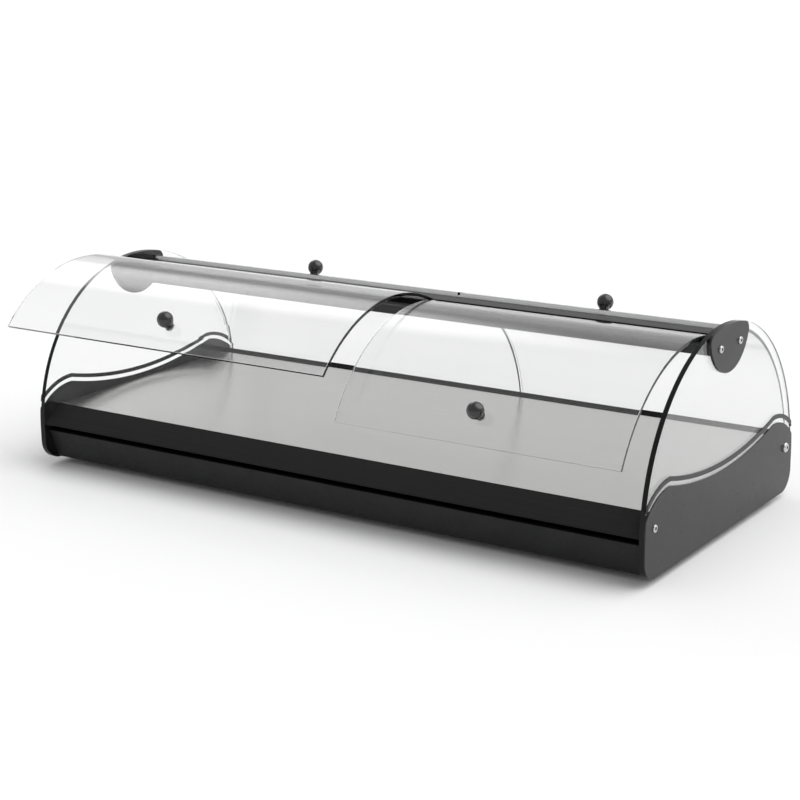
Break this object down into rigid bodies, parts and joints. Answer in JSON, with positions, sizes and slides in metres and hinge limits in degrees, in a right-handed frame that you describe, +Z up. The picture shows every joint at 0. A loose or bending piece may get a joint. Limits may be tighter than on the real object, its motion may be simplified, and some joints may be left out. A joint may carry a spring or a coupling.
{
  "type": "countertop display case",
  "caption": "Low countertop display case with clear ends, a stainless deck on a black base, and curved clear covers hinged front and rear, each with a ball knob.",
  "frame": {"origin": "point on the table under the middle of the case: mid length, on the centre line of the covers' curve", "axes": "+X along the case to the right as seen from the front, +Y from the front to the rear, +Z up"},
  "size_m": [0.8828, 0.456, 0.2663],
  "materials": {
    "clear_cover": "clear polished acrylic, 4 mm, curved",
    "clear_panel": "clear polished acrylic, 6 mm, sawn and polished edges",
    "black_base": "matt black powder coat",
    "black_rail": "black satin anodised",
    "satin_stainless": "satin, fine lengthways grain",
    "plain_steel": "galvanised, unpainted",
    "grey_plate": "dark grey, half gloss",
    "black_bar": "black anodised over a lengthways brushed grain",
    "rubber": "matt",
    "hinge_strip": "black extruded, satin",
    "knob": "black moulded, high gloss",
    "stainless_fittings": "bright stainless"
  },
  "bodies": {
    "root": {"base_pan": "black_base", "deck_plate": "satin_stainless", "deck_stiffener_left": "plain_steel", "deck_stiffener_middle": "plain_steel", "deck_stiffener_right": "plain_steel", "foot_nuts": "stainless_fittings", "foot_screws": "stainless_fittings", "front_hinge_rod": "stainless_fittings", "front_left_foot": "rubber", "front_rail": "black_rail", "front_right_foot": "rubber", "left_bar_cap": "grey_plate", "left_cap_screws": "stainless_fittings", "left_channel_nuts": "stainless_fittings", "left_channel_screws": "stainless_fittings", "left_end_channel": "plain_steel", "left_end_plate": "grey_plate", "left_pivot_screw": "stainless_fittings", "left_plate_screw": "stainless_fittings", "left_side_panel": "clear_panel", "left_trim_strip": "grey_plate", "rear_buffer": "rubber", "rear_hinge_rod": "stainless_fittings", "rear_left_foot": "rubber", "rear_rail": "black_base", "rear_right_foot": "rubber", "right_bar_cap": "grey_plate", "right_cap_screws": "stainless_fittings", "right_channel_nuts": "stainless_fittings", "right_channel_screws": "stainless_fittings", "right_end_channel": "plain_steel", "right_end_plate": "grey_plate", "right_pivot_screw": "stainless_fittings", "right_plate_screw": "stainless_fittings", "right_side_panel": "clear_panel", "right_trim_strip": "grey_plate", "slot_back": "black_base", "top_bar": "black_bar"},
    "front_left_cover": {"front_left_cover": "clear_cover", "front_left_hinge_strip": "hinge_strip", "front_left_knob": "knob", "front_left_knob_screw": "stainless_fittings"},
    "front_right_cover": {"front_right_cover": "clear_cover", "front_right_hinge_strip": "hinge_strip", "front_right_knob": "knob", "front_right_knob_screw": "stainless_fittings"},
    "rear_left_cover": {"rear_left_cover": "clear_cover", "rear_left_hinge_strip": "hinge_strip", "rear_left_knob": "knob", "rear_left_knob_screw": "stainless_fittings"},
    "rear_right_cover": {"rear_right_cover": "clear_cover", "rear_right_hinge_strip": "hinge_strip", "rear_right_knob": "knob", "rear_right_knob_screw": "stainless_fittings"}
  },
  "joints": [
    {"name": "front_left_lift", "type": "hinge", "parent": "root", "child": "front_left_cover", "pos_m": [-0.183, -0.02602, 0.23019], "axis": [-1, 0, 0], "range_deg": [-36.9, 17.1]},
    {"name": "front_right_lift", "type": "hinge", "parent": "root", "child": "front_right_cover", "pos_m": [0.24675, -0.02602, 0.23019], "axis": [-1, 0, 0], "range_deg": [-22.5, 31.5]},
    {"name": "rear_left_swing", "type": "hinge", "parent": "root", "child": "rear_left_cover", "pos_m": [-0.183, 0.17773, 0.06549], "axis": [-1, 0, 0], "range_deg": [0, 70]},
    {"name": "rear_right_swing", "type": "hinge", "parent": "root", "child": "rear_right_cover", "pos_m": [0.24675, 0.17773, 0.06549], "axis": [-1, 0, 0], "range_deg": [0, 70]}
  ]
}
